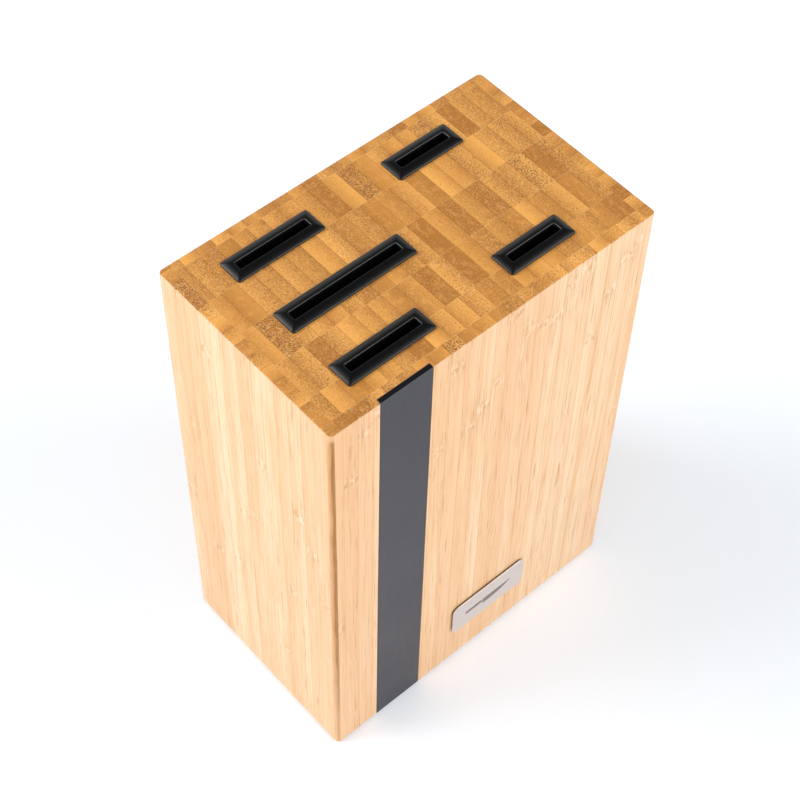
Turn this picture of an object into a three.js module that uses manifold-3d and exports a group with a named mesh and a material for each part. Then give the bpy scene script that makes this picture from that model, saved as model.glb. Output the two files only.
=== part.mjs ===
// A block for five knives, empty: a hollow case of edge-glued bamboo panels under a thick end-grain
// top of five glued boards. A moulded collar lines each slot in the top. A metal strip is let into
// the front panel, and a small badge is stuck beside it.
// Millimetres, +Z up, front towards -Y. The origin is on the floor under the middle of the case.

import * as THREE from 'three';
import { mergeVertices } from 'three/addons/utils/BufferGeometryUtils.js';
import Module from 'manifold-3d';

const wasm = await Module();
wasm.setup();

// Case, measured outside
const CASE_WIDTH = 150;
const CASE_DEPTH = 92;
const CASE_HEIGHT = 220;
const CORNER_RADIUS = 2;
const EDGE_EASE = 0.6;

// Thickness of the panels and boards
const SIDE_PANEL = 5;
const FRONT_PANEL = 5.2;
const REAR_PANEL = 4.2;
const BASE_BOARD = 8;
const TOP_BLOCK = 24;
const TOP_BOARDS = 5;
const FRONT_BOARD = 11.4;

// Slots, seen from above: rows run along X, and a row's slots are set out from the case's sides
const ROW_PITCH = 29;
const LEFT_MARGIN = 17.9;
const RIGHT_MARGIN = 28.6;
const THROAT_WIDTH = 3.4;
const LONG_SLOT = 47.7;
const MIDDLE_SLOT = 30.7;
const SHORT_SLOT = 22.7;
const SLOTS = [
  { name: 'rear_left', row: 1, side: 'left', length: MIDDLE_SLOT },
  { name: 'rear_right', row: 1, side: 'right', length: SHORT_SLOT },
  { name: 'middle', row: 0, side: 'left', length: LONG_SLOT },
  { name: 'front_left', row: -1, side: 'left', length: MIDDLE_SLOT },
  { name: 'front_right', row: -1, side: 'right', length: SHORT_SLOT },
];

// Collars
const COLLAR_BORDER = 3.9;
const COLLAR_LAND = 0.5;
const COLLAR_RISE = 1.8;
const COLLAR_EDGE = 0.8;
const COLLAR_CORNER = 0.9;
const COLLAR_FUNNEL = 0.4;
const SKIRT_WALL = 1.2;
const SKIRT_DEPTH = 20;
const SLOT_CORNER = 0.6;

// Front strip
const STRIP_WIDTH = 23;
const STRIP_THICKNESS = 2;
const STRIP_MARGIN = 21.4;

// Badge, with the foam tape that holds it
const BADGE_WIDTH = 40;
const BADGE_HEIGHT = 19;
const BADGE_CORNER = 3;
const BADGE_MARGIN = 62;
const BADGE_ABOVE_BASE = 21.2;
const BADGE_PLATE = 0.6;
const BADGE_TAPE = 0.5;
const TAPE_INSET = 0.4;

// Foot pads
const PAD_RADIUS = 6;
const PAD_THICKNESS = 1.2;
const PAD_CHAMFER = 0.3;
const PAD_INSET = 15;

// Gaps and clearances
const GLUE_GAP = 0.2;
const COLLAR_CLEARANCE = 0.3;
const STRIP_CLEARANCE = 0.2;
const OVERRUN = 5;

const CORNER_STEPS = 6;
const PAD_STEPS = 32;

// Places worked out from the sizes above, in the case's frame: Z is 0 under its panels
const LEFT = -CASE_WIDTH / 2;
const RIGHT = CASE_WIDTH / 2;
const FRONT = -CASE_DEPTH / 2;
const REAR = CASE_DEPTH / 2;
const INNER_LEFT = LEFT + SIDE_PANEL;
const INNER_RIGHT = RIGHT - SIDE_PANEL;
const INNER_FRONT = FRONT + FRONT_PANEL;
const INNER_REAR = REAR - REAR_PANEL;
const STRIP_LEFT = LEFT + STRIP_MARGIN;

const bamboo = new THREE.MeshStandardMaterial({ color: '#ecc48f', roughness: 0.55, metalness: 0 });
const endGrain = new THREE.MeshStandardMaterial({ color: '#d39b57', roughness: 0.6, metalness: 0 });
const collarPlastic = new THREE.MeshStandardMaterial({ color: '#1d1e21', roughness: 0.42, metalness: 0 });
const stripMetal = new THREE.MeshStandardMaterial({ color: '#3c3c41', roughness: 0.45, metalness: 0.9 });
const badgeMetal = new THREE.MeshStandardMaterial({ color: '#b9babd', roughness: 0.35, metalness: 1 });
const foamTape = new THREE.MeshStandardMaterial({ color: '#201c1a', roughness: 0.9, metalness: 0 });
const rubber = new THREE.MeshStandardMaterial({ color: '#2a2a2b', roughness: 0.85, metalness: 0 });

// A three.js geometry as a solid that can be joined and cut
function solid(geometry) {
  const bare = geometry.index ? geometry.toNonIndexed() : geometry.clone();
  bare.deleteAttribute('normal');
  bare.deleteAttribute('uv');
  const merged = mergeVertices(bare);
  return new wasm.Manifold(
    new wasm.Mesh({
      numProp: 3,
      vertProperties: new Float32Array(merged.attributes.position.array),
      triVerts: new Uint32Array(merged.index.array),
    })
  );
}

function surface(body) {
  const mesh = body.getMesh();
  const geometry = new THREE.BufferGeometry();
  geometry.setAttribute('position', new THREE.BufferAttribute(mesh.vertProperties, 3));
  geometry.setIndex(new THREE.BufferAttribute(mesh.triVerts, 1));
  geometry.computeVertexNormals();
  return geometry;
}

function block(low, high) {
  const size = high.map((value, axis) => value - low[axis]);
  const middle = high.map((value, axis) => (value + low[axis]) / 2);
  return solid(new THREE.BoxGeometry(...size).translate(...middle));
}

function rectangle(width, height) {
  const shape = new THREE.Shape();
  shape.moveTo(-width / 2, -height / 2);
  shape.lineTo(width / 2, -height / 2);
  shape.lineTo(width / 2, height / 2);
  shape.lineTo(-width / 2, height / 2);
  shape.closePath();
  return shape;
}

function roundedRectangle(width, height, radius) {
  const x = width / 2 - radius;
  const y = height / 2 - radius;
  const shape = new THREE.Shape();
  shape.absarc(x, -y, radius, -Math.PI / 2, 0);
  shape.absarc(x, y, radius, 0, Math.PI / 2);
  shape.absarc(-x, y, radius, Math.PI / 2, Math.PI);
  shape.absarc(-x, -y, radius, Math.PI, 1.5 * Math.PI);
  shape.closePath();
  return shape;
}

// A straight prism of the shape, from Z low to high
function prism(shape, low, high) {
  const settings = { depth: high - low, bevelEnabled: false, curveSegments: CORNER_STEPS };
  return new THREE.ExtrudeGeometry(shape, settings).translate(0, 0, low);
}

// The whole case as one lump with its upright corners rounded and its edges eased
function caseOutline() {
  const shape = roundedRectangle(
    CASE_WIDTH - 2 * EDGE_EASE,
    CASE_DEPTH - 2 * EDGE_EASE,
    CORNER_RADIUS - EDGE_EASE
  );
  const settings = {
    depth: CASE_HEIGHT - 2 * EDGE_EASE,
    bevelThickness: EDGE_EASE,
    bevelSize: EDGE_EASE,
    bevelSegments: 2,
    curveSegments: CORNER_STEPS,
  };
  return solid(new THREE.ExtrudeGeometry(shape, settings).translate(0, 0, EDGE_EASE));
}

function slotCentre(slot) {
  const half = slot.length / 2 + COLLAR_BORDER;
  const x = slot.side === 'left' ? LEFT + LEFT_MARGIN + half : RIGHT - RIGHT_MARGIN - half;
  return [x, slot.row * ROW_PITCH];
}

// What is cut out of the top for one collar's skirt
function slotCut(slot) {
  const room = 2 * (SKIRT_WALL + COLLAR_CLEARANCE);
  const corner = SLOT_CORNER + SKIRT_WALL + COLLAR_CLEARANCE;
  const shape = roundedRectangle(slot.length + room, THROAT_WIDTH + room, corner);
  const geometry = prism(shape, CASE_HEIGHT - TOP_BLOCK - OVERRUN, CASE_HEIGHT + OVERRUN);
  return solid(geometry.translate(...slotCentre(slot), 0));
}

function sidePanels(outline) {
  const low = [LEFT - OVERRUN, FRONT - OVERRUN, -OVERRUN];
  const high = [INNER_LEFT, REAR + OVERRUN, CASE_HEIGHT + OVERRUN];
  const left = outline.intersect(block(low, high));
  const mirrorLow = [INNER_RIGHT, low[1], low[2]];
  const mirrorHigh = [RIGHT + OVERRUN, high[1], high[2]];
  const right = outline.intersect(block(mirrorLow, mirrorHigh));
  return [mesh('left_panel', surface(left), bamboo), mesh('right_panel', surface(right), bamboo)];
}

// The front panel, with the groove that the metal strip lies in
function frontPanel(outline) {
  const low = [INNER_LEFT + GLUE_GAP, FRONT - OVERRUN, -OVERRUN];
  const high = [INNER_RIGHT - GLUE_GAP, INNER_FRONT, CASE_HEIGHT + OVERRUN];
  const groove = block(
    [STRIP_LEFT - STRIP_CLEARANCE, FRONT - OVERRUN, -OVERRUN],
    [STRIP_LEFT + STRIP_WIDTH + STRIP_CLEARANCE, FRONT + STRIP_THICKNESS + GLUE_GAP, CASE_HEIGHT + OVERRUN]
  );
  return mesh('front_panel', surface(outline.intersect(block(low, high)).subtract(groove)), bamboo);
}

function rearPanel(outline) {
  const low = [INNER_LEFT + GLUE_GAP, INNER_REAR, -OVERRUN];
  const high = [INNER_RIGHT - GLUE_GAP, REAR + OVERRUN, CASE_HEIGHT + OVERRUN];
  return mesh('rear_panel', surface(outline.intersect(block(low, high))), bamboo);
}

function baseBoard() {
  const width = INNER_RIGHT - INNER_LEFT - 2 * GLUE_GAP;
  const depth = INNER_REAR - INNER_FRONT - 2 * GLUE_GAP;
  const board = mesh('base_board', new THREE.BoxGeometry(width, depth, BASE_BOARD), bamboo);
  board.position.set(0, (INNER_FRONT + INNER_REAR) / 2, BASE_BOARD / 2);
  return board;
}

// The end-grain top: equal boards from the rear, and a thinner one that fills up to the front panel
function topBoards() {
  const full = (INNER_REAR - INNER_FRONT - FRONT_BOARD) / (TOP_BOARDS - 1);
  const cuts = SLOTS.map(slotCut);
  const boards = [];
  for (let i = 0; i < TOP_BOARDS; i++) {
    const front = i === 0 ? INNER_FRONT : INNER_FRONT + FRONT_BOARD + (i - 1) * full;
    const rear = INNER_FRONT + FRONT_BOARD + i * full;
    const low = [INNER_LEFT + GLUE_GAP, front + GLUE_GAP / 2, CASE_HEIGHT - TOP_BLOCK];
    const high = [INNER_RIGHT - GLUE_GAP, rear - GLUE_GAP / 2, CASE_HEIGHT];
    const board = cuts.reduce((body, cut) => body.subtract(cut), block(low, high));
    boards.push(mesh(`top_board_${i + 1}`, surface(board), endGrain));
  }
  return boards;
}

// A collar, with its origin on the surface that its flange sits on. The flange rises in four mitred
// slopes from a low upright edge to a narrow land around the throat.
function collar(slot) {
  const outer = roundedRectangle(
    slot.length + 2 * COLLAR_BORDER,
    THROAT_WIDTH + 2 * COLLAR_BORDER,
    COLLAR_CORNER
  );
  const land = rectangle(slot.length + 2 * COLLAR_LAND, THROAT_WIDTH + 2 * COLLAR_LAND);
  const slopes = new THREE.ExtrudeGeometry(land, {
    depth: 2 * COLLAR_EDGE,
    bevelThickness: COLLAR_RISE - COLLAR_EDGE,
    bevelSize: COLLAR_BORDER - COLLAR_LAND,
    bevelSegments: 1,
  }).translate(0, 0, -COLLAR_EDGE);
  const skirt = roundedRectangle(
    slot.length + 2 * SKIRT_WALL,
    THROAT_WIDTH + 2 * SKIRT_WALL,
    SLOT_CORNER + SKIRT_WALL
  );
  const throat = roundedRectangle(slot.length, THROAT_WIDTH, SLOT_CORNER);
  const funnel = new THREE.ExtrudeGeometry(throat, {
    depth: OVERRUN,
    bevelThickness: COLLAR_FUNNEL,
    bevelSize: COLLAR_FUNNEL,
    bevelSegments: 1,
    curveSegments: CORNER_STEPS,
  }).translate(0, 0, COLLAR_RISE);
  const body = solid(prism(outer, 0, COLLAR_RISE))
    .intersect(solid(slopes))
    .add(solid(prism(skirt, -SKIRT_DEPTH, COLLAR_EDGE)))
    .subtract(solid(prism(throat, -SKIRT_DEPTH - OVERRUN, COLLAR_RISE + OVERRUN)))
    .subtract(solid(funnel));
  const piece = mesh(`collar_${slot.name}`, surface(body), collarPlastic);
  piece.position.set(...slotCentre(slot), CASE_HEIGHT + GLUE_GAP);
  return piece;
}

function frontStrip() {
  const strip = mesh('front_strip', new THREE.BoxGeometry(STRIP_WIDTH, STRIP_THICKNESS, CASE_HEIGHT), stripMetal);
  strip.position.set(STRIP_LEFT + STRIP_WIDTH / 2, FRONT + STRIP_THICKNESS / 2, CASE_HEIGHT / 2);
  return strip;
}

// The badge and its tape are drawn flat and stood up against the front panel
function badge() {
  const tape = roundedRectangle(
    BADGE_WIDTH - 2 * TAPE_INSET,
    BADGE_HEIGHT - 2 * TAPE_INSET,
    BADGE_CORNER - TAPE_INSET
  );
  const plate = roundedRectangle(BADGE_WIDTH, BADGE_HEIGHT, BADGE_CORNER);
  const plateBack = GLUE_GAP + BADGE_TAPE + GLUE_GAP;
  const group = new THREE.Group();
  group.add(mesh('badge_tape', prism(tape, GLUE_GAP, GLUE_GAP + BADGE_TAPE), foamTape));
  group.add(mesh('badge_plate', prism(plate, plateBack, plateBack + BADGE_PLATE), badgeMetal));
  group.rotation.x = Math.PI / 2;
  group.position.set(
    LEFT + BADGE_MARGIN + BADGE_WIDTH / 2,
    FRONT,
    BADGE_ABOVE_BASE + BADGE_HEIGHT / 2
  );
  return group;
}

function footPads() {
  const profile = [
    new THREE.Vector2(0, 0),
    new THREE.Vector2(PAD_RADIUS - PAD_CHAMFER, 0),
    new THREE.Vector2(PAD_RADIUS, PAD_CHAMFER),
    new THREE.Vector2(PAD_RADIUS, PAD_THICKNESS - GLUE_GAP),
    new THREE.Vector2(0, PAD_THICKNESS - GLUE_GAP),
  ];
  const pads = [];
  for (const [endName, y] of [['front', FRONT + PAD_INSET], ['rear', REAR - PAD_INSET]]) {
    for (const [sideName, x] of [['left', LEFT + PAD_INSET], ['right', RIGHT - PAD_INSET]]) {
      const geometry = new THREE.LatheGeometry(profile, PAD_STEPS).rotateX(Math.PI / 2);
      const pad = mesh(`foot_pad_${endName}_${sideName}`, surface(solid(geometry)), rubber);
      pad.position.set(x, y, 0);
      pads.push(pad);
    }
  }
  return pads;
}

function mesh(name, geometry, material) {
  const piece = new THREE.Mesh(geometry, material);
  piece.name = name;
  return piece;
}

function knifeCase() {
  const outline = caseOutline();
  const group = new THREE.Group();
  group.add(...sidePanels(outline), frontPanel(outline), rearPanel(outline), baseBoard());
  group.add(...topBoards(), ...SLOTS.map(collar), frontStrip(), badge());
  group.position.z = PAD_THICKNESS;
  return group;
}

const knifeBlock = new THREE.Group();
knifeBlock.add(knifeCase(), ...footPads());

export default knifeBlock;
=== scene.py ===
"""The looks of an empty bamboo knife block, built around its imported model."""

import math
from collections import namedtuple

import bmesh
import bpy
from mathutils import Matrix, Vector


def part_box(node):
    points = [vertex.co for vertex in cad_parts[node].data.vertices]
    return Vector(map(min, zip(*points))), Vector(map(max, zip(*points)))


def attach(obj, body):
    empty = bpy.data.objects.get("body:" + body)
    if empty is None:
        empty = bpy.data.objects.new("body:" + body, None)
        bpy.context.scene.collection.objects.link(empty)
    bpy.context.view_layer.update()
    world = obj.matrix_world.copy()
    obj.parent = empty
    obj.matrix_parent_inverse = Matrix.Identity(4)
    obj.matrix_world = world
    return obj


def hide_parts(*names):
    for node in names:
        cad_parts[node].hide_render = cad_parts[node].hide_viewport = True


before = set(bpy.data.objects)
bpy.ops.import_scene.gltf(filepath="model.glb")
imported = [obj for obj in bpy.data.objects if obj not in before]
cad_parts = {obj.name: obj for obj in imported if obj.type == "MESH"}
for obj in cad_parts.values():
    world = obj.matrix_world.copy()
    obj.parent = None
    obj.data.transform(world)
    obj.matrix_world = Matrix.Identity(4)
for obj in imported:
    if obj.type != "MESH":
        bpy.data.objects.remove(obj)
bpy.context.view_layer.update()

bl_info = {
    "name": "Bamboo knife block",
    "version": (1, 0, 0),
    "blender": (4, 5, 0),
    "location": "View3D > Sidebar > Knife block",
    "description": "Builds the panels, boards, collars, strip and badge of an empty knife block",
    "category": "Object",
}

MM = 0.001
CASE_LOW, CASE_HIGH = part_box("left_panel")[0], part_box("right_panel")[1]
COLLARS = ["rear_left", "rear_right", "middle", "front_left", "front_right"]
PADS = ["front_left", "front_right", "rear_left", "rear_right"]
# Keeps loops that would be level a little apart in height, for the bridge between them.
LOOP_LIFT = 0.05 * MM


def linear(hex_colour):
    """An sRGB hex colour such as "#D9A15A" as linear red, green, blue and full alpha."""
    channels = [int(hex_colour[i : i + 2], 16) / 255 for i in (1, 3, 5)]
    return [c / 12.92 if c <= 0.04045 else ((c + 0.055) / 1.055) ** 2.4 for c in channels] + [1.0]


def length(name, default, description):
    """A size in metres, given here in millimetres."""
    return bpy.props.FloatProperty(
        name=name, description=description, default=default * MM, min=0.0, unit="LENGTH", precision=5
    )


def colour(name, default, description):
    """A colour, given here as sRGB hex."""
    return bpy.props.FloatVectorProperty(
        name=name, description=description, default=linear(default), size=4, min=0.0, max=1.0, subtype="COLOR"
    )


class KnifeBlockSizes(bpy.types.PropertyGroup):
    """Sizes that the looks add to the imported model"""

    corner_radius: length("Corner radius", 2.0, "Rounding of the case's upright corners")
    edge_ease: length("Edge easing", 0.6, "Rounding of the case's top and bottom edges")
    glue_gap: length("Glue gap", 0.2, "Gap that the model leaves between glued pieces, closed here")
    strip_pitch: length("Bamboo strip", 6.8, "Width of one bamboo strip")
    bundle_pitch: length("Fibre bundle", 0.7, "Spacing of the fibre bundles in the bamboo")
    collar_border: length("Collar border", 3.9, "Flange around the throat")
    collar_edge: length("Collar edge", 0.8, "Height of the flange's upright edge")
    collar_land: length("Collar land", 0.3, "Rim that rolls over into the throat")
    rim_drop: length("Rim drop", 0.7, "Depth over which the rim rolls over")
    collar_corner: length("Collar corner", 0.9, "Corner radius of the flange")
    collar_bevel: length("Collar bevel", 0.3, "Rounding of the collar's edges")
    throat_corner: length("Throat corner", 0.5, "Corner radius of the throat")
    skirt_wall: length("Skirt wall", 1.2, "Wall of the skirt that goes down the slot")
    plate_bevel: length("Badge bevel", 0.18, "Bevel around the badge's face")
    badge_corner: length("Badge corner", 3.0, "Corner radius of the badge")
    strip_bevel: length("Strip bevel", 0.15, "Broken edges of the front strip")
    pad_edge: length("Pad edge", 0.4, "Rounding of a foot pad's lower edge")


class KnifeBlockColours(bpy.types.PropertyGroup):
    """Colours of the finishes"""

    side_pale: colour("Side, pale", "#F2D2A9", "Long grain of the palest strips")
    side_pink: colour("Side, pink", "#F0C69D", "Long grain of the pinker strips")
    side_warm: colour("Side, warm", "#E8B582", "Long grain of the warmest strips")
    side_fibre: colour("Side, fibre", "#CF9A64", "Fibres and joints in the long grain")
    side_dash: colour("Side, dash", "#B97F48", "Broken brown fibres in the long grain")
    side_knuckle: colour("Side, knuckle", "#F8E6CB", "Pale pith in the bamboo's joints")
    end_light: colour("End, light", "#F2AD56", "End grain of the lightest strips")
    end_dark: colour("End, dark", "#B2722B", "End grain of the darkest strips")
    end_pore: colour("End, pore", "#8A5423", "Fibre bundles in the end grain")
    end_speck: colour("End, speck", "#F8CC8B", "Torn pale fibres in the end grain")
    rind: colour("Rind", "#CC8C44", "Brown skin left along the near corner")
    rind_dark: colour("Rind, dark", "#A96D2E", "Darkest line of the brown skin")
    glue: colour("Glue", "#E8BC7C", "Glue lines between the boards")
    collar: colour("Collar", "#070708", "Moulded plastic of the collars")
    strip: colour("Strip", "#4A494F", "Anodised metal of the front strip")
    badge: colour("Badge", "#DAD2CF", "Brushed metal of the badge")
    badge_mark: colour("Badge mark", "#928A86", "Etched mark on the badge")
    # The tape's dark brown is partly its own colour and partly painted shade: it stands for the contact
    # shadow along the badge's edge, where the badge meets the wood.
    tape: colour("Tape", "#2A211B", "Foam tape behind the badge")
    rubber: colour("Rubber", "#2A2A2B", "Rubber of the foot pads")
    floor: colour("Floor", "#EFF5FC", "Floor under the block")


# Shader nodes


def socket(sockets, key):
    """The socket with that place, or the one in use with that name."""
    return sockets[key] if isinstance(key, int) else next(s for s in sockets if s.enabled and s.name == key)


def add(tree, kind, feeds=None, gives=None, **settings):
    """Adds a shader node with its settings, and the values or outputs that feed it.
    Returns the output called gives, or the node."""
    node = tree.nodes.new("ShaderNode" + kind)
    for name, value in settings.items():
        setattr(node, name, value)
    for key, value in (feeds or {}).items():
        target = socket(node.inputs, key)
        if isinstance(value, bpy.types.NodeSocket):
            tree.links.new(value, target)
        else:
            target.default_value = value
    return node if gives is None else socket(node.outputs, gives)


def new_material(name):
    """An empty node material, and its node tree."""
    material = bpy.data.materials.new(name)
    material.use_nodes = True
    material.node_tree.nodes.clear()
    return material, material.node_tree


def finish_material(tree, **shader_feeds):
    """Ends a material in a Principled shader. Feeds are its inputs' names with _ for a space."""
    feeds = {name.replace("_", " "): value for name, value in shader_feeds.items()}
    shader = add(tree, "BsdfPrincipled", feeds, gives="BSDF")
    add(tree, "OutputMaterial", {"Surface": shader})


# Bamboo

# Scale of a Mapping node that turns metres into millimetres.
IN_MM = (1.0 / MM, 1.0 / MM, 1.0 / MM)
# How far apart the patterns of two strips lie, in the pattern's own units.
NOISE_SPREAD = (29.0, 53.0, 71.0)
BUNDLE_SPREAD = (61.0, 47.0, 83.0)
# What a material knows of the strip it is in: the place in millimetres, a random colour and its three
# parts, the share of the way to the strip's dense side, the distance to the next joint in millimetres,
# the mask of the fibre bundles and a random value for each bundle.
Strip = namedtuple("Strip", "place random parts dense joint bundles value")


def strip_numbers(positions, first_joint, pitch):
    """Which strips of a board lie at these distances, in millimetres, from the board's zero."""
    return [math.floor((position - first_joint) / (pitch / MM)) for position in positions]


def one_of(tree, strip, numbers):
    """1 on the strips with these numbers and 0 on the others."""
    total = 0.0
    for number in numbers:
        here = add(tree, "Math", {0: strip, 1: float(number), 2: 0.5}, "Value", operation="COMPARE")
        total = add(tree, "Math", {0: here, 1: total}, "Value", operation="ADD")
    return total


def bamboo_strips(tree, place, first_joint, seed, pitch):
    """Cuts the board into strips along X. Gives the strip's number, its three random values, how far
    across the strip from its inner to its dense outer side, and the distance to the next joint in mm."""
    seed_step = 41.0
    wander_per_mm = 0.05
    joint_shift = 1.2
    across = add(tree, "SeparateXYZ", {"Vector": place}, "X")
    seeded = add(tree, "Math", {0: across, 1: seed_step * seed}, "Value", operation="ADD")
    noise = {"W": seeded, "Scale": wander_per_mm, "Detail": 0.0}
    wander = add(tree, "TexNoise", noise, "Fac", noise_dimensions="1D")
    moves = {0: wander, 1: joint_shift, 2: -joint_shift / 2 - first_joint}
    shift = add(tree, "Math", moves, "Value", operation="MULTIPLY_ADD")
    moved = add(tree, "Math", {0: across, 1: shift}, "Value", operation="ADD")
    counted = add(tree, "Math", {0: moved, 1: pitch / MM}, "Value", operation="DIVIDE")
    strip = add(tree, "Math", {0: counted}, "Value", operation="FLOOR")
    share = add(tree, "Math", {0: counted}, "Value", operation="FRACT")
    key = add(tree, "CombineXYZ", {"X": strip, "Y": float(seed)}, "Vector")
    random = add(tree, "TexWhiteNoise", {"Vector": key}, "Color", noise_dimensions="3D")
    parts = add(tree, "SeparateColor", {"Color": random})
    turned = add(tree, "Math", {0: parts.outputs["Green"], 1: 0.5}, "Value", operation="GREATER_THAN")
    other = add(tree, "Math", {0: 1.0, 1: share}, "Value", operation="SUBTRACT")
    dense = add(tree, "Mix", {"Factor": turned, "A": share, "B": other}, "Result", data_type="FLOAT")
    nearest = add(tree, "Math", {0: share, 1: other}, "Value", operation="MINIMUM")
    joint = add(tree, "Math", {0: nearest, 1: pitch / MM}, "Value", operation="MULTIPLY")
    return strip, random, parts, dense, joint


def grain_noise(tree, place, random, per_mm, detail=2.0):
    """Noise with its own place in each strip. per_mm is how often it changes in a millimetre."""
    sized = add(tree, "VectorMath", {0: place, 1: per_mm}, "Vector", operation="MULTIPLY")
    feeds = {0: random, 1: NOISE_SPREAD, 2: sized}
    own = add(tree, "VectorMath", feeds, "Vector", operation="MULTIPLY_ADD")
    return add(tree, "TexNoise", {"Vector": own, "Scale": 1.0, "Detail": detail, "Roughness": 0.55}, "Fac")


def bell(tree, height, centre, reach):
    """1 at the centre height, and 0.4 at the reach above and below it, both in millimetres."""
    away = add(tree, "Math", {0: height, 1: centre}, "Value", operation="SUBTRACT")
    flat = add(tree, "Math", {0: away, 1: reach}, "Value", operation="DIVIDE")
    square = add(tree, "Math", {0: flat, 1: flat}, "Value", operation="MULTIPLY")
    return add(tree, "Math", {0: 0.4, 1: square}, "Value", operation="POWER")


def fibre_bundles(tree, place, random, dense, rough, knuckle, pitch):
    """Fibre bundles run up the strip as lines that lean in and out of the cut and crowd towards its
    dense side: dots in end grain, streaks in long grain. Gives their mask, and a value for each."""
    lean_per_mm = (0.35, 0.35, 0.022)
    lean_reach = 3.5
    rough_growth = 0.3
    slow = add(tree, "VectorMath", {0: place, 1: lean_per_mm}, "Vector", operation="MULTIPLY")
    lean = add(tree, "TexNoise", {"Vector": slow, "Scale": 1.0, "Detail": 1.0}, "Color")
    centred = add(tree, "VectorMath", {0: lean, 1: (0.5, 0.5, 0.5)}, "Vector", operation="SUBTRACT")
    feeds = {0: knuckle, 1: lean_reach, 2: lean_reach}
    reach = add(tree, "Math", feeds, "Value", operation="MULTIPLY_ADD")
    shift = add(tree, "VectorMath", {0: centred, "Scale": reach}, "Vector", operation="SCALE")
    leaning = add(tree, "VectorMath", {0: place, 1: shift}, "Vector", operation="ADD")
    per_mm = MM / pitch
    feeds = {0: rough, 1: -rough_growth * per_mm, 2: per_mm}
    coarse = add(tree, "Math", feeds, "Value", operation="MULTIPLY_ADD")
    sized = add(tree, "VectorMath", {0: leaning, "Scale": coarse}, "Vector", operation="SCALE")
    feeds = {0: random, 1: BUNDLE_SPREAD, 2: sized}
    own = add(tree, "VectorMath", feeds, "Vector", operation="MULTIPLY_ADD")
    feeds = {"Vector": own, "Scale": 1.0, "Randomness": 0.85}
    cells = add(tree, "TexVoronoi", feeds, voronoi_dimensions="2D")
    thin, thicker, core_share = 0.34, 0.2, 0.45
    radius = add(tree, "Math", {0: dense, 1: thicker, 2: thin}, "Value", operation="MULTIPLY_ADD")
    core = add(tree, "Math", {0: radius, 1: core_share}, "Value", operation="MULTIPLY")
    mask = cut(tree, cells.outputs["Distance"], radius, core)
    value = add(tree, "SeparateColor", {"Color": cells.outputs["Color"]}, "Red")
    return mask, value


def blend(tree, factor, below, above, amount=1.0):
    """Lays a colour over another where the factor is 1, by that amount."""
    part = add(tree, "Math", {0: factor, 1: amount}, "Value", operation="MULTIPLY", use_clamp=True)
    feeds = {"Factor": part, "A": below, "B": above}
    return add(tree, "Mix", feeds, "Result", data_type="RGBA")


def cut(tree, value, low, high):
    """0 below low and 1 above high, or the other way round if low is the larger."""
    feeds = {"Value": value, "From Min": low, "From Max": high}
    return add(tree, "MapRange", feeds, "Result", interpolation_type="SMOOTHSTEP")


def both(tree, first, *others):
    """1 where all of the masks are."""
    for other in others:
        first = add(tree, "Math", {0: first, 1: other}, "Value", operation="MULTIPLY")
    return first


def end_grain(tree, colours, strip, picked, glue_lines):
    """The colour where the strips are cut across: speckled, each strip darker towards one side."""
    is_dark, is_pale, is_rough = picked
    lowest, spread, pale_lift, dark_drop = 0.22, 0.65, 0.5, 0.85
    tone = add(tree, "Math", {0: strip.parts[0], 1: spread, 2: lowest}, "Value", operation="MULTIPLY_ADD")
    lifted = add(tree, "Math", {0: is_pale, 1: pale_lift, 2: tone}, "Value", operation="MULTIPLY_ADD")
    feeds = {0: is_dark, 1: -dark_drop, 2: lifted}
    level = add(tree, "Math", feeds, "Value", operation="MULTIPLY_ADD", use_clamp=True)
    colour = blend(tree, level, colours.end_dark, colours.end_light)
    shaded = add(tree, "Math", {0: strip.dense, 1: 1.6}, "Value", operation="POWER")
    colour = blend(tree, shaded, colour, colours.end_dark, amount=0.65)
    mottle = grain_noise(tree, strip.place, strip.random, per_mm=(0.5, 0.3, 0.0))
    colour = blend(tree, cut(tree, mottle, 0.45, 0.75), colour, colours.end_light, amount=0.35)

    # How far the planer has torn the fibres out: by bundle, by strip, and more on the rough strips.
    faintest, varied = 0.35, 0.5
    strength = add(tree, "Math", {0: strip.value, 1: varied, 2: faintest}, "Value", operation="MULTIPLY_ADD")
    smoothest, varied, rough_lift = 0.25, 0.9, 0.5
    feeds = {0: strip.parts[2], 1: varied, 2: smoothest}
    planed = add(tree, "Math", feeds, "Value", operation="MULTIPLY_ADD")
    smoothed = both(tree, strength, planed)
    torn = add(tree, "Math", {0: is_rough, 1: rough_lift, 2: smoothed}, "Value", operation="MULTIPLY_ADD")
    colour = blend(tree, both(tree, strip.bundles, torn), colour, colours.end_pore, amount=0.9)
    fine = grain_noise(tree, strip.place, strip.random, per_mm=(2.0, 2.0, 0.0))
    specks = both(tree, cut(tree, fine, 0.48, 0.66), torn)
    colour = blend(tree, specks, colour, colours.end_speck, amount=0.55)
    colour = blend(tree, cut(tree, strip.joint, 0.26, 0.08), colour, colours.end_pore, amount=0.35)

    line_half_width = 0.12
    through = add(tree, "SeparateXYZ", {"Vector": strip.place}, "Y")
    for position in glue_lines:
        feeds = {0: through, 1: position, 2: line_half_width}
        on_line = add(tree, "Math", feeds, "Value", operation="COMPARE")
        colour = blend(tree, on_line, colour, colours.glue, amount=0.3)
    return colour


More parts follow.
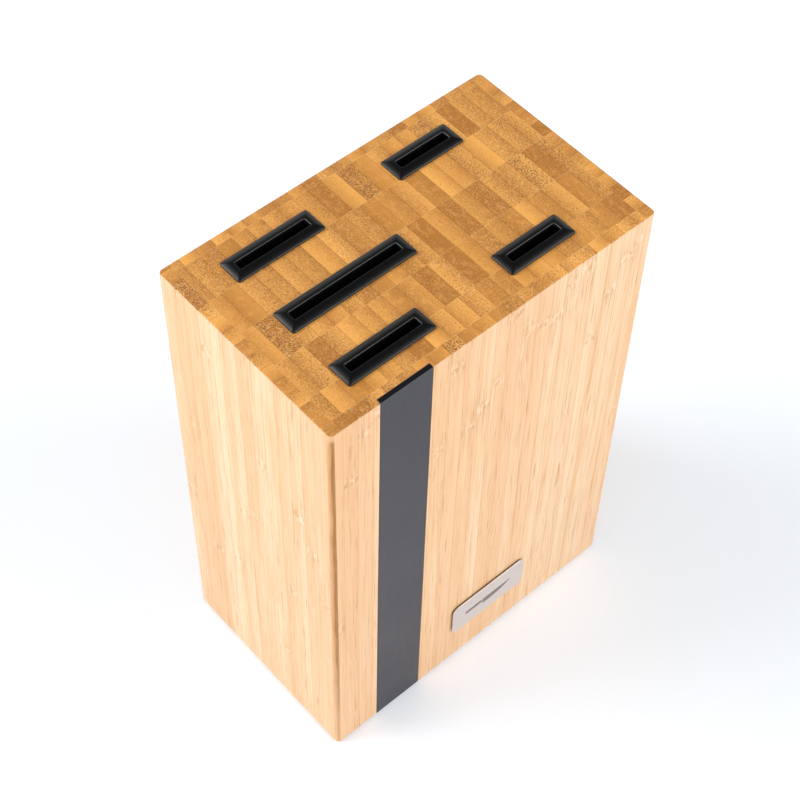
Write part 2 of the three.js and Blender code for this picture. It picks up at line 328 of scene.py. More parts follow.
def long_grain(tree, colours, strip, picked, knuckle, zone):
    """The colour along the strips: pale, with soft streaks, brown dashes and a knuckle on each strip."""
    is_dark, is_pale, _ = picked
    place, random = strip.place, strip.random
    spread, pale_lift, dark_drop = 0.5, 0.4, 0.3
    clouds = grain_noise(tree, place, random, per_mm=(0.13, 0.13, 0.011))
    tone = add(tree, "Math", {0: strip.parts[0], 1: spread, 2: clouds}, "Value", operation="MULTIPLY_ADD")
    lifted = add(tree, "Math", {0: is_pale, 1: pale_lift, 2: tone}, "Value", operation="MULTIPLY_ADD")
    toned = add(tree, "Math", {0: is_dark, 1: -dark_drop, 2: lifted}, "Value", operation="MULTIPLY_ADD")
    colour = blend(tree, cut(tree, toned, 0.35, 1.1), colours.side_warm, colours.side_pale)
    colour = blend(tree, strip.parts[2], colour, colours.side_pink, amount=0.5)
    shaded = add(tree, "Math", {0: strip.dense, 1: 2.0}, "Value", operation="POWER")
    colour = blend(tree, shaded, colour, colours.side_warm, amount=0.5)

    # Streaks, from the finest to the broadest, then the fibre bundles, whole and broken.
    fine = grain_noise(tree, place, random, per_mm=(2.4, 2.4, 0.028), detail=3.0)
    colour = blend(tree, cut(tree, fine, 0.5, 0.8), colour, colours.side_fibre, amount=0.42)
    broad = grain_noise(tree, place, random, per_mm=(0.7, 0.7, 0.014))
    colour = blend(tree, cut(tree, broad, 0.48, 0.74), colour, colours.side_warm, amount=0.85)
    colour = blend(tree, both(tree, strip.bundles, strip.value), colour, colours.side_fibre, amount=0.3)
    broken = grain_noise(tree, place, random, per_mm=(0.9, 0.9, 0.06))
    dashes = both(tree, strip.bundles, cut(tree, broken, 0.51, 0.66), strip.value)
    colour = blend(tree, dashes, colour, colours.side_dash, amount=0.65)

    # The knuckle: browner streaks around it, and pale pith and brown fibres in the middle of it.
    flecks = grain_noise(tree, place, random, per_mm=(0.6, 0.6, 0.3), detail=3.0)
    around = both(tree, cut(tree, fine, 0.48, 0.62), zone)
    colour = blend(tree, around, colour, colours.side_fibre, amount=0.5)
    pith = both(tree, cut(tree, flecks, 0.46, 0.7), knuckle)
    colour = blend(tree, pith, colour, colours.side_knuckle, amount=0.5)
    fibres = both(tree, cut(tree, flecks, 0.48, 0.36), knuckle)
    colour = blend(tree, fibres, colour, colours.side_fibre, amount=0.75)
    return blend(tree, cut(tree, strip.joint, 0.3, 0.08), colour, colours.side_fibre, amount=0.42)


def rind_streak(tree, colours, place, random, colour):
    """The bamboo's brown skin, left along the near corner where the strip was sanded round. It is
    ragged along its edge, patchy, fades out towards the base and stops short of the top edge."""
    ragged = 2.4
    bare_tip, full_tip = 1.7, 5.2
    top = CASE_HIGH.z / MM
    axes = add(tree, "SeparateXYZ", {"Vector": place})
    sum_of = add(tree, "Math", {0: axes.outputs["X"], 1: axes.outputs["Y"]}, "Value", operation="ADD")
    around = add(tree, "Math", {0: 0.0, 1: sum_of}, "Value", operation="SUBTRACT")
    worn = grain_noise(tree, place, random, per_mm=(0.0, 0.0, 0.06), detail=3.0)
    uneven = add(tree, "Math", {0: worn, 1: ragged, 2: -ragged / 2}, "Value", operation="MULTIPLY_ADD")
    moved = add(tree, "Math", {0: around, 1: uneven}, "Value", operation="ADD")

    fading = cut(tree, axes.outputs["Z"], 5.0, 95.0)
    left_at_base = 0.3
    feeds = {0: fading, 1: 1.0 - left_at_base, 2: left_at_base}
    lasting = add(tree, "Math", feeds, "Value", operation="MULTIPLY_ADD")
    fibres = grain_noise(tree, place, random, per_mm=(1.6, 1.6, 0.09), detail=3.0)
    feeds = {"Value": fibres, "From Min": 0.3, "From Max": 0.6, "To Min": 0.65}
    patchy = add(tree, "MapRange", feeds, "Result")
    tip = cut(tree, axes.outputs["Z"], top - bare_tip, top - full_tip)
    kept = both(tree, lasting, patchy, tip)

    edge = cut(tree, around, 1.9, 1.5)
    for low, high, shade, amount in (
        (-2.6, -0.6, colours.rind, 0.85),
        (-0.3, 0.5, colours.rind_dark, 1.0),
    ):
        part = both(tree, cut(tree, moved, low, high), edge, kept)
        colour = blend(tree, part, colour, shade, amount)
    return colour


def bamboo(
    name,
    first_joint,
    turned=False,
    seed=0,
    dark=(),
    pale=(),
    rough=(),
    glue_lines=(),
    knuckles=(190.0, 70.0),
    rind=False,
    lying=False,
):
    """Bamboo strips glued side by side, planed, sanded and oiled: warm speckled end grain above and
    below, pale streaked long grain on the sides. Strips lie along X, or along Y if turned. Positions
    are in millimetres from the case's left face, or from its front face if turned. knuckles gives the
    middle height of the bamboo's joints and how far they spread. Grain runs up, or along Y if lying."""
    sizes, colours = bpy.context.scene.knife_block_sizes, bpy.context.scene.knife_block_colours
    material, tree = new_material(name)
    coordinates = add(tree, "TexCoord")
    zero = CASE_LOW / MM
    quarter = -math.pi / 2
    location = (-zero.x, -zero.y, 0.0)
    rotation = (0.0, 0.0, 0.0)
    if turned:
        location = (-zero.y, zero.x, 0.0)
        rotation = (0.0, 0.0, quarter)
    if lying:
        location = (-zero.x, 0.0, -zero.y)
        rotation = (quarter, 0.0, 0.0)
    feeds = {
        "Vector": coordinates.outputs["Object"],
        "Location": location,
        "Rotation": rotation,
        "Scale": IN_MM,
    }
    place = add(tree, "Mapping", feeds, "Vector")
    pitch = sizes.strip_pitch
    number, random, parts, dense, joint = bamboo_strips(tree, place, first_joint, seed, pitch)
    picked = [
        one_of(tree, number, strip_numbers(positions, first_joint, pitch))
        for positions in (dark, pale, rough)
    ]
    level, spread = knuckles
    height = add(tree, "SeparateXYZ", {"Vector": place}, "Z")
    feeds = {0: parts.outputs["Blue"], 1: spread, 2: level - spread / 2}
    centre = add(tree, "Math", feeds, "Value", operation="MULTIPLY_ADD")
    knuckle = bell(tree, height, centre, reach=3.2)
    zone = bell(tree, height, centre, reach=11.0)
    bundles, value = fibre_bundles(tree, place, random, dense, picked[2], knuckle, sizes.bundle_pitch)
    strip = Strip(place, random, parts.outputs, dense, joint, bundles, value)
    end = end_grain(tree, colours, strip, picked, glue_lines)
    long = long_grain(tree, colours, strip, picked, knuckle, zone)
    if rind:
        long = rind_streak(tree, colours, place, random, long)

    facing = add(tree, "SeparateXYZ", {"Vector": coordinates.outputs["Normal"]}, "Y" if lying else "Z")
    upright = add(tree, "Math", {0: facing}, "Value", operation="ABSOLUTE")
    on_end = cut(tree, upright, 0.45, 0.8)
    base = blend(tree, on_end, long, end)
    oiled, rougher_fibres, rougher_end = 0.44, 0.12, 0.08
    feeds = {0: bundles, 1: rougher_fibres, 2: oiled}
    polish = add(tree, "Math", feeds, "Value", operation="MULTIPLY_ADD")
    feeds = {0: on_end, 1: rougher_end, 2: polish}
    roughness = add(tree, "Math", feeds, "Value", operation="MULTIPLY_ADD")
    bump = add(tree, "Bump", {"Height": bundles, "Strength": 0.35, "Distance": 0.05 * MM}, "Normal")
    finish_material(tree, Base_Color=base, Roughness=roughness, IOR=1.48, Normal=bump)
    return material


# Other materials


def moulded_plastic(name, base, roughness):
    """ABS moulded in a fine spark-eroded tool: black, with a soft even sheen and a barely visible grain."""
    grain_size, grain_depth = 0.22 * MM, 0.03 * MM
    material, tree = new_material(name)
    place = add(tree, "TexCoord", gives="Object")
    grain = add(tree, "TexNoise", {"Vector": place, "Scale": 1.0 / grain_size, "Detail": 2.0}, "Fac")
    feeds = {"Value": grain, "To Min": roughness - 0.05, "To Max": roughness + 0.08}
    rough = add(tree, "MapRange", feeds, "Result")
    bump = add(tree, "Bump", {"Height": grain, "Strength": 0.3, "Distance": grain_depth}, "Normal")
    finish_material(tree, Base_Color=base, Roughness=rough, IOR=1.53, Normal=bump)
    return material


def etched_knife(tree, centre):
    """1 inside a plain outline of a cook's knife, which lies across the middle of the badge. Its sizes
    are in millimetres from that middle: a bar for the grip, and a blade with a flat back whose edge
    sweeps up to the tip."""
    grip_middle, grip_half_length = -8.2, 4.6
    grip_height, grip_half_height = 0.3, 1.05
    heel, tip, back, edge = -3.2, 13.0, 1.35, -2.3
    blur = 0.1
    place = add(tree, "TexCoord", gives="Object")
    feeds = {"Vector": place, "Location": -centre / MM, "Scale": IN_MM}
    axes = add(tree, "SeparateXYZ", {"Vector": add(tree, "Mapping", feeds, "Vector")})
    along, up = axes.outputs["X"], axes.outputs["Z"]

    from_grip = add(tree, "Math", {0: along, 1: grip_middle}, "Value", operation="SUBTRACT")
    grip_reach = add(tree, "Math", {0: from_grip}, "Value", operation="ABSOLUTE")
    above_grip = add(tree, "Math", {0: up, 1: grip_height}, "Value", operation="SUBTRACT")
    grip_rise = add(tree, "Math", {0: above_grip}, "Value", operation="ABSOLUTE")
    grip = both(
        tree,
        cut(tree, grip_reach, grip_half_length + blur, grip_half_length - blur),
        cut(tree, grip_rise, grip_half_height + blur, grip_half_height - blur),
    )

    share = add(tree, "MapRange", {"Value": along, "From Min": heel, "From Max": tip}, "Result")
    sweep = add(tree, "Math", {0: share, 1: 3.0}, "Value", operation="POWER")
    belly = add(tree, "Math", {0: sweep, 1: back - edge, 2: edge}, "Value", operation="MULTIPLY_ADD")
    over_edge = add(tree, "Math", {0: up, 1: belly}, "Value", operation="SUBTRACT")
    blade = both(
        tree,
        cut(tree, along, heel - blur, heel + blur),
        cut(tree, up, back + blur, back - blur),
        cut(tree, over_edge, 0.0, 2 * blur),
    )
    return add(tree, "Math", {0: grip, 1: blade}, "Value", operation="MAXIMUM")


def brushed_metal(name, base, roughness, along, mark=None):
    """Metal with fine straight scratches along an axis, which stretch its highlights across them.
    mark is the middle of an etched knife outline and its colour."""
    scratch_width, scratch_depth = 0.15 * MM, 0.004 * MM
    stretch = 0.012
    cloud_size = 24 * MM
    material, tree = new_material(name)
    place = add(tree, "TexCoord", gives="Object")
    scale = [(stretch if axis == along else 1.0) / scratch_width for axis in "XYZ"]
    sized = add(tree, "Mapping", {"Vector": place, "Scale": scale}, "Vector")
    lines = add(tree, "TexNoise", {"Vector": sized, "Scale": 1.0, "Detail": 3.0, "Roughness": 0.6}, "Fac")
    cloudy = add(tree, "TexNoise", {"Vector": place, "Scale": 1.0 / cloud_size, "Detail": 2.0}, "Fac")
    mixed = add(tree, "Math", {0: cloudy, 1: 0.4, 2: lines}, "Value", operation="MULTIPLY_ADD")
    feeds = {"Value": mixed, "From Min": 0.4, "From Max": 1.1}
    feeds.update({"To Min": roughness - 0.06, "To Max": roughness + 0.08})
    rough = add(tree, "MapRange", feeds, "Result")
    bump = add(tree, "Bump", {"Height": lines, "Strength": 0.4, "Distance": scratch_depth}, "Normal")
    if mark:
        middle, shade = mark
        etched = etched_knife(tree, middle)
        base = blend(tree, etched, base, shade)
        etching = 0.2
        rough = add(tree, "Math", {0: etched, 1: etching, 2: rough}, "Value", operation="MULTIPLY_ADD")
    finish_material(tree, Base_Color=base, Metallic=1.0, Roughness=rough, Normal=bump)
    return material


def soft_rubber(name, base, grain_size):
    """Rubber or foam with a matt, slightly pitted skin."""
    pit_depth = 0.05 * MM
    material, tree = new_material(name)
    place = add(tree, "TexCoord", gives="Object")
    pits = add(tree, "TexNoise", {"Vector": place, "Scale": 1.0 / grain_size, "Detail": 3.0}, "Fac")
    # The tint follows the pits. It is darker where the bump is low, which is painted shade in the pits of the
    # pads and the tape.
    shade = add(tree, "MapRange", {"Value": pits, "To Min": 0.75, "To Max": 1.25}, "Result")
    tint = add(tree, "VectorMath", {0: base[:3], "Scale": shade}, "Vector", operation="SCALE")
    bump = add(tree, "Bump", {"Height": pits, "Strength": 0.5, "Distance": pit_depth}, "Normal")
    finish_material(tree, Base_Color=tint, Roughness=0.82, IOR=1.5, Normal=bump)
    return material


def matt_floor(name, base, glow):
    """Matt acrylic of a light table, plain and pale, with a little light coming through from below."""
    material, tree = new_material(name)
    light = {"Emission_Color": base, "Emission_Strength": glow}
    finish_material(tree, Base_Color=base, Roughness=0.9, Specular_IOR_Level=0.2, **light)
    return material


# Pieces


def place_piece(bm, name, material, node, smooth_angle=35.0):
    """Turns the bmesh into a piece that stands for the CAD node and rides on the block."""
    bmesh.ops.recalc_face_normals(bm, faces=bm.faces)
    mesh = bpy.data.meshes.new(name)
    bm.to_mesh(mesh)
    bm.free()
    mesh.shade_smooth()
    mesh.set_sharp_from_angle(angle=math.radians(smooth_angle))
    piece = bpy.data.objects.new(name, mesh)
    bpy.context.scene.collection.objects.link(piece)
    mesh.materials.append(material)
    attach(piece, "root")
    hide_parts(node)
    return piece


def weighted_bevel(piece, width, angle=40.0):
    """Rounds every edge sharper than the angle by a small true bevel."""
    bevel = piece.modifiers.new("edges", "BEVEL")
    bevel.width = width
    bevel.segments = 3
    bevel.limit_method = "ANGLE"
    bevel.angle_limit = math.radians(angle)
    bevel.harden_normals = True


def cuboid(bm, low, high):
    """Adds a box between two corners."""
    made = bmesh.ops.create_cube(bm, size=1.0)["verts"]
    size = high - low
    bmesh.ops.scale(bm, verts=made, vec=size)
    bmesh.ops.translate(bm, verts=made, vec=(low + high) / 2)


def bevel_edges(bm, edges, offset, segments):
    """Rounds these edges."""
    bmesh.ops.bevel(
        bm, geom=edges, offset=offset, offset_type="OFFSET", segments=segments, profile=0.5,
        affect="EDGES", material=-1,
    )


def close_to(value, target):
    """Whether two lengths are the same, apart from rounding."""
    return abs(value - target) < 0.02 * MM


def ease_ends(bm, is_outside, offset):
    """Rounds the edges of the top and bottom faces whose middle is_outside picks."""
    edges = [
        e
        for e in bm.edges
        if any(all(close_to(v.co.z, z) for v in e.verts) for z in (CASE_LOW.z, CASE_HIGH.z))
        and is_outside((e.verts[0].co + e.verts[1].co) / 2)
    ]
    bevel_edges(bm, edges, offset, 4)


def side_panel(node, name, material, sizes):
    """A side panel: rounded upright corners outside, eased ends, square where it is glued."""
    low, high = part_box(node)
    outer = low.x if abs(low.x) > abs(high.x) else high.x
    inner = high.x if outer == low.x else low.x
    bm = bmesh.new()
    cuboid(bm, low, high)
    upright = [
        e
        for e in bm.edges
        if all(close_to(v.co.x, outer) for v in e.verts) and not close_to(*[v.co.z for v in e.verts])
    ]
    bevel_edges(bm, upright, sizes.corner_radius, 12)
    ease_ends(bm, lambda co: not close_to(co.x, inner), sizes.edge_ease)
    place_piece(bm, name, material, node)


def cut_groove(bm, left, right, back):
    """Takes out what lies between left and right in front of back, from top to bottom."""
    across, inwards = (1, 0, 0), (0, 1, 0)
    for point, direction in (((left, 0, 0), across), ((right, 0, 0), across), ((0, back, 0), inwards)):
        everything = list(bm.verts) + list(bm.edges) + list(bm.faces)
        bmesh.ops.bisect_plane(bm, geom=everything, plane_co=point, plane_no=direction)
    centres = {face: face.calc_center_median() for face in bm.faces}
    taken = [face for face, middle in centres.items() if left < middle.x < right and middle.y < back]
    bmesh.ops.delete(bm, geom=taken, context="FACES")
    ends = [e for e in bm.edges if e.is_boundary and close_to(*[v.co.z for v in e.verts])]
    bmesh.ops.bridge_loops(bm, edges=ends)


def flat_panel(node, name, material, sizes, groove=None):
    """The front or rear panel, between the side panels, with a groove for the strip if it has one."""
    low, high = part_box(node)
    low.x -= sizes.glue_gap
    high.x += sizes.glue_gap
    outer = low.y if abs(low.y) > abs(high.y) else high.y
    bm = bmesh.new()
    cuboid(bm, low, high)
    if groove:
        cut_groove(bm, *groove)
    ease_ends(bm, lambda co: close_to(co.y, outer), sizes.edge_ease)
    place_piece(bm, name, material, node)


def closed_up_copy(node, name, material, reach):
    """A copy of a glued piece, with its sides moved out by reach to meet its neighbours."""
    low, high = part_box(node)
    bm = bmesh.new()
    bm.from_mesh(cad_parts[node].data)
    bmesh.ops.remove_doubles(bm, verts=bm.verts, dist=0.001 * MM)
    bmesh.ops.dissolve_limit(bm, angle_limit=math.radians(1.0), verts=bm.verts, edges=bm.edges)
    for vertex in bm.verts:
        for axis in range(2):
            if close_to(vertex.co[axis], low[axis]):
                vertex.co[axis] -= reach[axis]
            elif close_to(vertex.co[axis], high[axis]):
                vertex.co[axis] += reach[axis]
    place_piece(bm, name, material, node)


def rounded_loop(bm, centre, size, radius, z, segments=5):
    """A loop of edges around a rectangle with rounded corners, level at z."""
    corners = bmesh.ops.create_grid(bm, x_segments=1, y_segments=1, size=0.5)["verts"]
    bmesh.ops.scale(bm, verts=corners, vec=(size[0], size[1], 1.0))
    bmesh.ops.translate(bm, verts=corners, vec=(centre[0], centre[1], z))
    bmesh.ops.bevel(
        bm, geom=corners, offset=radius, offset_type="OFFSET", segments=segments, profile=0.5,
        affect="VERTICES", material=-1,
    )
    return next(iter(bm.faces))


def ring_stack(bm, centre, throat, steps):
    """Bridges loops around the throat into a closed ring. Each step is how far the loop stands out
    from the throat, its height and its corner radius. No two neighbours may be level with each
    other, because the bridge between level loops can cross over the throat."""
    loops = []
    for out, z, radius in steps:
        size = (throat[0] + 2 * out, throat[1] + 2 * out)
        face = rounded_loop(bm, centre, size, radius, z)
        loops.append(list(face.edges))
        bmesh.ops.delete(bm, geom=[face], context="FACES_ONLY")
    for first, second in zip(loops, loops[1:] + loops[:1]):
        bmesh.ops.bridge_loops(bm, edges=first + second)


def collar(slot_name, material, sizes):
    """A collar: sloping flange on the top, a rim that rolls over into the throat, a skirt below."""
    node = f"collar_{slot_name}"
    low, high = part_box(node)
    seat = CASE_HIGH.z
    rise = high.z - sizes.glue_gap
    border, edge, wall = sizes.collar_border, sizes.collar_edge, sizes.skirt_wall
    centre = ((low.x + high.x) / 2, (low.y + high.y) / 2)
    throat = (high.x - low.x - 2 * border, high.y - low.y - 2 * border)
    corner, inside = sizes.collar_corner, sizes.throat_corner
    steps = [
        (wall, low.z, inside + wall),
        (wall, seat - LOOP_LIFT, inside + wall),
        (border, seat, corner),
        (border, seat + edge, corner),
    ]
    land, dome = sizes.collar_land, rise - seat - edge
    slope_loops, fullness = 6, 2.2
    for loop in range(1, slope_loops):
        share = loop / slope_loops
        out = border + (land - border) * share
        lift = dome * (1 - (1 - share) ** fullness)
        steps.append((out, seat + edge + lift, corner + (inside - corner) * share))
    steps += [
        (land, rise, inside),
        (0.0, rise - sizes.rim_drop, inside),
        (0.0, low.z + LOOP_LIFT, inside),
    ]
    bm = bmesh.new()
    ring_stack(bm, centre, throat, steps)
    piece = place_piece(bm, f"slot_collar_{slot_name}", material, node, 180.0)
    weighted_bevel(piece, sizes.collar_bevel, angle=22.0)


def bar(node, name, material, bevel):
    """A straight bar with its edges just broken."""
    low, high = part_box(node)
    bm = bmesh.new()
    cuboid(bm, low, high)
    piece = place_piece(bm, name, material, node, 180.0)
    weighted_bevel(piece, bevel)


def upright_plate(node, name, material, radius, bevel, shift):
    """A plate with rounded corners that stands against the front, moved back by shift."""
    low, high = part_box(node)
    bm = bmesh.new()
    size = (high.x - low.x, high.z - low.z)
    face = rounded_loop(bm, (0.0, 0.0), size, radius, 0.0, segments=12)
    raised = bmesh.ops.extrude_face_region(bm, geom=[face])["geom"]
    lifted = [v for v in raised if isinstance(v, bmesh.types.BMVert)]
    bmesh.ops.translate(bm, verts=lifted, vec=(0.0, 0.0, high.y - low.y))
    stand_up(bm, Vector(((low.x + high.x) / 2, high.y + shift, (low.z + high.z) / 2)))
    piece = place_piece(bm, name, material, node, 30.0)
    if bevel:
        weighted_bevel(piece, bevel)


def stand_up(bm, middle):
    """Turns what was drawn flat to face the front, with its back at the middle point."""
    bmesh.ops.rotate(bm, verts=bm.verts, cent=(0.0, 0.0, 0.0), matrix=Matrix.Rotation(math.pi / 2, 3, "X"))
    bmesh.ops.translate(bm, verts=bm.verts, vec=middle)


def foot_pad(where, material, sizes):
    """A stick-on pad: a low disc with a rolled lower edge, which reaches up to the base board."""
    node = f"foot_pad_{where}"
    low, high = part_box(node)
    radius = (high.x - low.x) / 2
    height = high.z - low.z + sizes.glue_gap
    bm = bmesh.new()
    bmesh.ops.create_circle(bm, cap_ends=True, segments=48, radius=radius)
    raised = bmesh.ops.extrude_face_region(bm, geom=list(bm.faces))["geom"]
    lifted = [v for v in raised if isinstance(v, bmesh.types.BMVert)]
    bmesh.ops.translate(bm, verts=lifted, vec=(0.0, 0.0, height))
    lower = [e for e in bm.edges if all(close_to(v.co.z, 0.0) for v in e.verts)]
    bevel_edges(bm, lower, sizes.pad_edge, 4)
    bmesh.ops.translate(bm, verts=bm.verts, vec=((low.x + high.x) / 2, (low.y + high.y) / 2, low.z))
    place_piece(bm, f"rubber_pad_{where}", material, node)


# Operators


class KNIFE_OT_side_panels(bpy.types.Operator):
    """Build the left and right panels with their rounded corners"""

    bl_idname = "knife.side_panels"
    bl_label = "Side panels"

    def execute(self, context):
        sizes = context.scene.knife_block_sizes
        wall = (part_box("left_panel")[1].x - CASE_LOW.x) / MM
        left = bamboo(
            "Bamboo, edge-glued strips, left", 2.0, turned=True, seed=3, dark=(73.4, 80.2),
            pale=(60.0, 66.6), rough=(73.4, 80.2), glue_lines=(-wall,), knuckles=(120.0, 200.0), rind=True,
        )
        width = (CASE_HIGH.x - CASE_LOW.x) / MM
        right = bamboo(
            "Bamboo, edge-glued strips, right", 5.0, turned=True, seed=4, dark=(12.0, 58.0),
            glue_lines=(wall - width,), knuckles=(90.0, 160.0),
        )
        side_panel("left_panel", "left_side_panel", left, sizes)
        side_panel("right_panel", "right_side_panel", right, sizes)
        return {"FINISHED"}


class KNIFE_OT_front_and_rear(bpy.types.Operator):
    """Build the grooved front panel and the plain rear panel"""

    bl_idname = "knife.front_and_rear"
    bl_label = "Front and rear panels"

    def execute(self, context):
        sizes = context.scene.knife_block_sizes
        front = bamboo(
            "Bamboo, edge-glued strips, front", 5.0, seed=1, rough=(56.0,), dark=(8.0, 15.0),
            pale=(103.6, 110.4, 117.0, 124.0, 131.0, 138.0, 145.0),
            glue_lines=((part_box("front_panel")[1].y - CASE_LOW.y) / MM,), knuckles=(188.0, 60.0),
        )
        rear = bamboo(
            "Bamboo, edge-glued strips, rear", 8.9, seed=2, pale=(12.0, 26.0), dark=(66.0, 108.0),
            glue_lines=((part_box("rear_panel")[0].y - CASE_LOW.y) / MM,), knuckles=(60.0, 90.0),
        )
        strip_low, strip_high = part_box("front_strip")
        clearance = sizes.glue_gap
        groove = (strip_low.x - clearance, strip_high.x + clearance, strip_high.y + clearance)
        flat_panel("front_panel", "front_panel_wood", front, sizes, groove)
        flat_panel("rear_panel", "rear_panel_wood", rear, sizes)
        return {"FINISHED"}


class KNIFE_OT_top_and_base(bpy.types.Operator):
    """Build the five end-grain boards of the top, and the base board"""

    bl_idname = "knife.top_and_base"
    bl_label = "Top boards and base"

    def execute(self, context):
        sizes = context.scene.knife_block_sizes
        looks = [
            {"first_joint": 9.3, "seed": 11, "dark": (46.0, 141.0), "pale": (53.0,)},
            {"first_joint": 10.6, "seed": 12, "dark": (20.0, 68.5, 82.0), "pale": (116.0, 34.0)},
            {
                "first_joint": 10.6,
                "seed": 13,
                "dark": (14.0, 82.0, 96.0, 109.0, 136.0),
                "rough": (14.0, 129.0, 142.5),
            },
            {"first_joint": 10.6, "seed": 14, "pale": (34.0, 47.0, 54.0, 103.0, 123.0)},
            {
                "first_joint": 8.2,
                "seed": 15,
                "dark": (66.0, 80.0, 128.0),
                "pale": (73.0, 93.0),
                "rough": (80.0, 114.0),
            },
        ]
        gap = sizes.glue_gap
        reach = (gap, gap / 2)
        for number, look in enumerate(looks, 1):
            node = f"top_board_{number}"
            low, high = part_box(node)
            lines = [(y - CASE_LOW.y) / MM for y in (low.y - reach[1], high.y + reach[1])]
            wood = bamboo(f"Bamboo, end-grain board {number}", glue_lines=lines, **look)
            closed_up_copy(node, f"end_grain_board_{number}", wood, reach)
        base = bamboo("Bamboo, edge-glued strips, base", 3.0, seed=21, knuckles=(0.0, 70.0), lying=True)
        closed_up_copy("base_board", "base_board_wood", base, (gap, gap))
        return {"FINISHED"}


class KNIFE_OT_collars(bpy.types.Operator):
    """Build the five slot collars"""

    bl_idname = "knife.collars"
    bl_label = "Slot collars"

    def execute(self, context):
        sizes, colours = context.scene.knife_block_sizes, context.scene.knife_block_colours
        plastic = moulded_plastic("ABS, moulded black", list(colours.collar), 0.3)
        for name in COLLARS:
            collar(name, plastic, sizes)
        return {"FINISHED"}


class KNIFE_OT_front_strip(bpy.types.Operator):
    """Build the metal strip in the front panel"""

    bl_idname = "knife.front_strip"
    bl_label = "Front strip"

    def execute(self, context):
        sizes, colours = context.scene.knife_block_sizes, context.scene.knife_block_colours
        metal = brushed_metal("Aluminium, brushed and anodised black", list(colours.strip), 0.38, "Z")
        bar("front_strip", "front_metal_strip", metal, sizes.strip_bevel)
        return {"FINISHED"}


class KNIFE_OT_badge(bpy.types.Operator):
    """Build the badge, its tape and a plain etched knife outline"""

    bl_idname = "knife.badge"
    bl_label = "Badge"

    def execute(self, context):
        sizes, colours = context.scene.knife_block_sizes, context.scene.knife_block_colours
        gap, corner = sizes.glue_gap, sizes.badge_corner
        # The dark tape is partly painted shade: it also stands for the contact shadow under the badge's edge.
        foam = soft_rubber("Foam tape, black", list(colours.tape), 0.2 * MM)
        low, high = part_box("badge_plate")
        mark = ((low + high) / 2, list(colours.badge_mark))
        steel = brushed_metal("Stainless steel, brushed", list(colours.badge), 0.34, "X", mark)
        tape_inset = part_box("badge_tape")[0].x - low.x
        upright_plate("badge_tape", "badge_foam_tape", foam, corner - tape_inset, 0.0, gap)
        plate_bevel = sizes.plate_bevel
        upright_plate("badge_plate", "badge_face_plate", steel, corner, plate_bevel, 2 * gap)
        return {"FINISHED"}


class KNIFE_OT_foot_pads(bpy.types.Operator):
    """Build the four rubber pads under the base"""

    bl_idname = "knife.foot_pads"
    bl_label = "Foot pads"

    def execute(self, context):
        sizes, colours = context.scene.knife_block_sizes, context.scene.knife_block_colours
        rubber = soft_rubber("Rubber, moulded matt", list(colours.rubber), 0.3 * MM)
        for where in PADS:
            foot_pad(where, rubber, sizes)
        return {"FINISHED"}


class KNIFE_OT_stage(bpy.types.Operator):
    """Lay the floor, and set the lights and the camera"""

    bl_idname = "knife.stage"
    bl_label = "Stage"

    def execute(self, context):
        scene = context.scene
        half_width = 6.0
        bm = bmesh.new()
        bmesh.ops.create_grid(bm, x_segments=1, y_segments=1, size=half_width)
        mesh = bpy.data.meshes.new("floor")
        bm.to_mesh(mesh)
        bm.free()
        floor = bpy.data.objects.new("floor", mesh)
        scene.collection.objects.link(floor)
        white = list(scene.knife_block_colours.floor)
        mesh.materials.append(matt_floor("Acrylic, matt white", white, glow=0.15))
        set_room(scene)
        for name, position, size, power in (
            ("softbox_front", (1.0, -1.45, 1.35), 1.3, 21.0),
            ("softbox_back", (-1.4, 1.1, 1.35), 1.3, 30.0),
        ):
            softbox(scene, name, Vector(position), size, power)
        set_camera(scene)
        return {"FINISHED"}


def set_room(scene):
    """A pale room all around, with a dark flag above and behind that keeps glare off the collars."""
    world = bpy.data.worlds.new("pale_room")
    world.use_nodes = True
    tree = world.node_tree
    tree.nodes.clear()
    direction = add(tree, "TexCoord", gives="Generated")
    flag = Vector((0.36, 0.24, 0.90))
    room_light, flag_light = 0.82, 0.03
    outside, inside = 0.72, 0.88
    towards = add(tree, "VectorMath", {0: direction, 1: flag}, "Value", operation="DOT_PRODUCT")
    feeds = {"Value": towards, "From Min": outside, "From Max": inside}
    feeds.update({"To Min": room_light, "To Max": flag_light})
    glow = add(tree, "MapRange", feeds, "Result")
    sky = add(tree, "Background", {"Color": (1.0, 1.0, 1.0, 1.0), "Strength": glow}, "Background")
    add(tree, "OutputWorld", {"Surface": sky})
    scene.world = world


def softbox(scene, name, position, size, power):
    """A square softbox, aimed at the middle of the block and hidden from the camera."""
    aim = Vector((0.0, 0.0, 0.1))
    light = bpy.data.lights.new(name, "AREA")
    light.shape = "SQUARE"
    light.size = size
    light.energy = power
    lamp = bpy.data.objects.new(name, light)
    lamp.location = position
    lamp.rotation_euler = (aim - position).to_track_quat("-Z", "Y").to_euler()
    lamp.visible_camera = False
    scene.collection.objects.link(lamp)


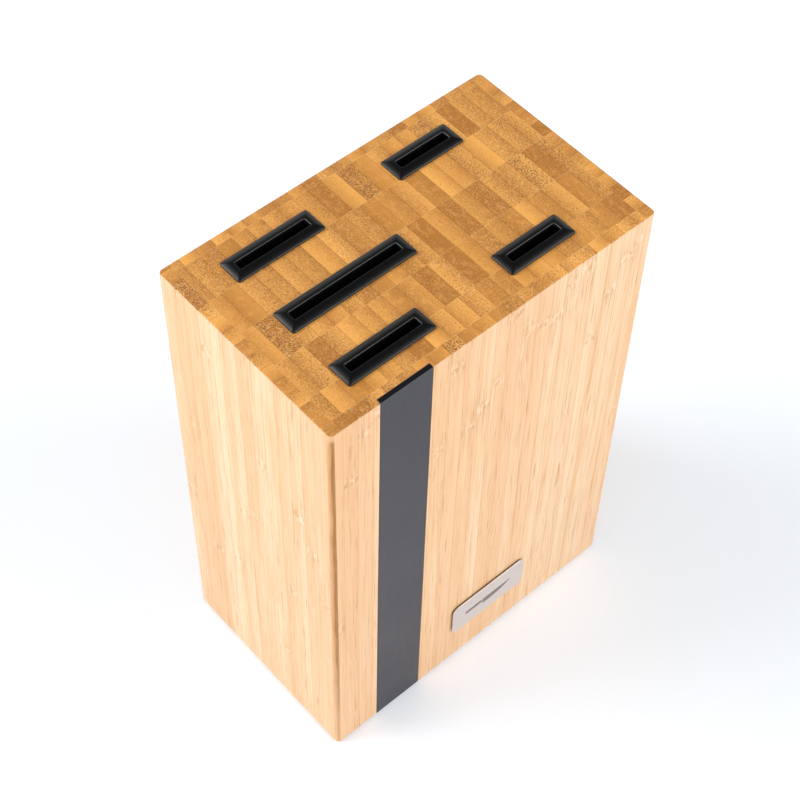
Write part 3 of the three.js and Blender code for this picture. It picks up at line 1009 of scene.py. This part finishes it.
def set_camera(scene):
    """A long lens looking down on the near left corner."""
    target = Vector((0.0, 3.3, 124.9)) * MM
    azimuth, elevation, roll = math.radians(42.5), math.radians(53.64), math.radians(1.55)
    distance = 0.7203
    level = math.cos(elevation)
    back = Vector((-math.sin(azimuth) * level, -math.cos(azimuth) * level, math.sin(elevation)))
    lens = bpy.data.cameras.new("camera")
    lens.sensor_width = 36.0
    lens.lens = 83.23
    lens.clip_start = 0.05
    camera = bpy.data.objects.new("camera", lens)
    turn = (-back).to_track_quat("-Z", "Y").to_matrix().to_4x4() @ Matrix.Rotation(roll, 4, "Z")
    camera.matrix_world = Matrix.Translation(target + back * distance) @ turn
    scene.collection.objects.link(camera)
    scene.camera = camera


class KNIFE_PT_panel(bpy.types.Panel):
    """The block's sizes, colours and building steps"""

    bl_label = "Knife block"
    bl_idname = "KNIFE_PT_panel"
    bl_space_type = "VIEW_3D"
    bl_region_type = "UI"
    bl_category = "Knife block"

    def draw(self, context):
        for group in (context.scene.knife_block_sizes, context.scene.knife_block_colours):
            column = self.layout.column(align=True)
            for name in group.bl_rna.properties.keys():
                if name not in ("rna_type", "name"):
                    column.prop(group, name)
        for step in STEPS:
            self.layout.operator(step.bl_idname)


STEPS = (
    KNIFE_OT_stage,
    KNIFE_OT_side_panels,
    KNIFE_OT_front_and_rear,
    KNIFE_OT_top_and_base,
    KNIFE_OT_collars,
    KNIFE_OT_front_strip,
    KNIFE_OT_badge,
    KNIFE_OT_foot_pads,
)
CLASSES = (KnifeBlockSizes, KnifeBlockColours, *STEPS, KNIFE_PT_panel)


def register():
    for cls in CLASSES:
        bpy.utils.register_class(cls)
    bpy.types.Scene.knife_block_sizes = bpy.props.PointerProperty(type=KnifeBlockSizes)
    bpy.types.Scene.knife_block_colours = bpy.props.PointerProperty(type=KnifeBlockColours)


def unregister():
    del bpy.types.Scene.knife_block_sizes
    del bpy.types.Scene.knife_block_colours
    for cls in reversed(CLASSES):
        bpy.utils.unregister_class(cls)


def main():
    register()
    bpy.context.scene.view_settings.view_transform = "Standard"
    bpy.ops.knife.stage()
    bpy.ops.knife.side_panels()
    bpy.ops.knife.front_and_rear()
    bpy.ops.knife.top_and_base()
    bpy.ops.knife.collars()
    bpy.ops.knife.front_strip()
    bpy.ops.knife.badge()
    bpy.ops.knife.foot_pads()


if __name__ == "__main__":
    main()
